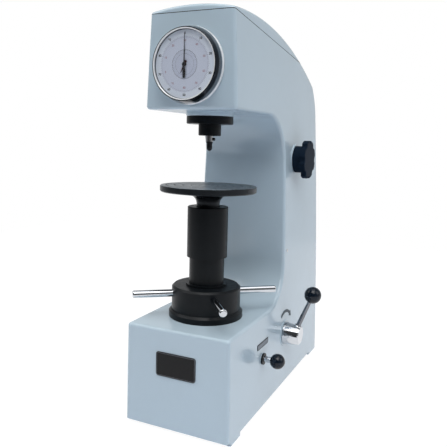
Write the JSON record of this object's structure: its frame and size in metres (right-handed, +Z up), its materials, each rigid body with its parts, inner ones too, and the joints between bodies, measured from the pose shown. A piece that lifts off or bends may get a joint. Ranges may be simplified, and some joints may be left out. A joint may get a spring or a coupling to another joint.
{
  "type": "hardness tester",
  "caption": "Bench hardness tester with a C-shaped casting, round test table on an elevating screw, rod handwheel, dial gauge, load lever and weights inside.",
  "frame": {"origin": "centre of the base underside, level with the soles of the feet", "axes": "+Z up, -Y to the front with the dial, +X to the operator's right with the lever and knobs"},
  "size_m": [0.2479, 0.4674, 0.6393],
  "materials": {
    "casting_paint": "pale blue-grey gloss enamel",
    "chrome": "polished",
    "black_paint": "semi-gloss black enamel",
    "blackened_steel": "turned and blackened",
    "black_knob": "polished black bakelite",
    "dial": "satin printed face",
    "clear_window": "clear",
    "pointer_black": "matt black",
    "pointer_red": "matt red",
    "steel": "machined",
    "bronze": "machined",
    "cast_iron": "machined",
    "plate_black": "black anodised",
    "plate_grey": "satin",
    "gasket": "black"
  },
  "bodies": {
    "casting": {"machine_body": "casting_paint", "top_cover": "casting_paint", "cover_gasket": "gasket", "rear_cover": "casting_paint", "rear_cover_screws": "steel", "screw_guide_bush": "cast_iron", "screw_guide_key": "steel", "handwheel_base_ring": "black_paint", "spindle_flange": "black_paint", "spindle_flange_screws": "steel", "spindle_bush": "black_paint", "gauge_case": "black_paint", "gauge_movement": "bronze", "trigger_washer": "black_knob", "selector_collar": "black_knob", "name_plate": "plate_black", "trigger_label_plate": "plate_grey", "lever_arrow_plate": "plate_grey", "column_side_screw": "steel", "fulcrum_ears": "cast_iron", "fulcrum_pin": "steel", "buffer_cylinder": "steel"},
    "handwheel": {"handwheel_drum": "black_paint", "handwheel_rods": "chrome", "lower_sleeve": "black_paint"},
    "table_screw": {"elevating_screw": "steel", "test_table": "blackened_steel", "protective_sleeve": "black_paint"},
    "spindle_group": {"spindle": "chrome", "spindle_arm": "steel", "indenter": "blackened_steel", "indenter_set_screw": "chrome", "gauge_plunger": "steel"},
    "bezel_group": {"gauge_bezel": "chrome", "gauge_dial_spacer": "black_paint", "gauge_dial": "dial", "gauge_lens": "clear_window"},
    "long_pointer_group": {"long_pointer": "pointer_black", "gauge_arbor": "steel"},
    "short_pointer_group": {"short_pointer": "pointer_red"},
    "load_lever": {"load_lever_hub": "chrome", "load_lever_rod": "chrome", "load_lever_nut": "chrome", "load_lever_ball": "black_knob", "load_shaft": "steel"},
    "roller": {"lift_roller": "steel"},
    "trigger": {"trigger_stem": "chrome", "trigger_ball": "black_knob", "trigger_stop": "steel"},
    "selector": {"selector_knob": "black_knob", "selector_shaft": "steel", "selector_cam": "steel"},
    "beam": {"load_beam": "cast_iron", "hanger_pin": "steel"},
    "hanger": {"weight_hanger": "steel", "weight_lower": "cast_iron", "weight_middle": "cast_iron", "weight_upper": "cast_iron"},
    "piston": {"buffer_piston": "steel"},
    "push_rod_group": {"push_rod": "steel"}
  },
  "joints": [
    {"name": "handwheel_turn", "type": "hinge", "parent": "casting", "child": "handwheel", "pos_m": [0, -0.136, 0.2025], "axis": [0, 0, 1], "range_deg": [-3000, 2520]},
    {"name": "table_lift", "type": "slide", "parent": "casting", "child": "table_screw", "axis": [0, 0, 1], "range_m": [-0.0421, 0.0501]},
    {"name": "bezel_turn", "type": "hinge", "parent": "casting", "child": "bezel_group", "pos_m": [0, -0.2036, 0.5503], "axis": [0, -1, 0], "continuous": true},
    {"name": "long_pointer_turn", "type": "hinge", "parent": "casting", "child": "long_pointer_group", "pos_m": [0, -0.2036, 0.5503], "axis": [0, 1, 0], "range_deg": [0, 1081]},
    {"name": "short_pointer_turn", "type": "hinge", "parent": "casting", "child": "short_pointer_group", "pos_m": [0, -0.2036, 0.5503], "axis": [0, 1, 0], "range_deg": [0, 108.2]},
    {"name": "spindle_travel", "type": "slide", "parent": "casting", "child": "spindle_group", "axis": [0, 0, 1], "range_m": [0, 0.0006]},
    {"name": "load_lever_turn", "type": "hinge", "parent": "casting", "child": "load_lever", "pos_m": [0.089, 0.014, 0.1009], "axis": [-1, 0, 0], "range_deg": [0, 60]},
    {"name": "roller_spin", "type": "hinge", "parent": "load_lever", "child": "roller", "pos_m": [0, 0.03565, 0.1134], "axis": [1, 0, 0], "continuous": true},
    {"name": "push_rod_slide", "type": "slide", "parent": "casting", "child": "push_rod_group", "axis": [0, 0, -1], "range_m": [0, 0.0241]},
    {"name": "beam_turn", "type": "hinge", "parent": "casting", "child": "beam", "pos_m": [0, -0.148, 0.5353], "axis": [-1, 0, 0], "range_deg": [0, 1.21]},
    {"name": "hanger_swing", "type": "hinge", "parent": "beam", "child": "hanger", "pos_m": [0, 0.107, 0.5308], "axis": [-1, 0, 0], "range_deg": [-1.21, 0]},
    {"name": "piston_slide", "type": "slide", "parent": "casting", "child": "piston", "axis": [0, 0, -1], "range_m": [0, 0.0049]},
    {"name": "trigger_press", "type": "slide", "parent": "casting", "child": "trigger", "axis": [-1, 0, 0], "range_m": [0, 0.008], "stiffness_N_per_m": 300, "springref_m": -0.003},
    {"name": "selector_turn", "type": "hinge", "parent": "casting", "child": "selector", "pos_m": [0.08, 0.064, 0.4163], "axis": [1, 0, 0], "range_deg": [0, 180]}
  ],
  "couplings": [
    {"joint": "table_lift", "follows": "handwheel_turn", "m_per_rad": -0.00095493},
    {"joint": "long_pointer_turn", "follows": "spindle_travel", "rad_per_m": 31416},
    {"joint": "short_pointer_turn", "follows": "spindle_travel", "rad_per_m": 3141.6},
    {"joint": "push_rod_slide", "follows": "load_lever_turn", "m_per_rad": 0.022918},
    {"joint": "beam_turn", "follows": "load_lever_turn", "ratio": 0.02},
    {"joint": "hanger_swing", "follows": "load_lever_turn", "ratio": -0.02},
    {"joint": "piston_slide", "follows": "load_lever_turn", "m_per_rad": 0.0045837}
  ]
}
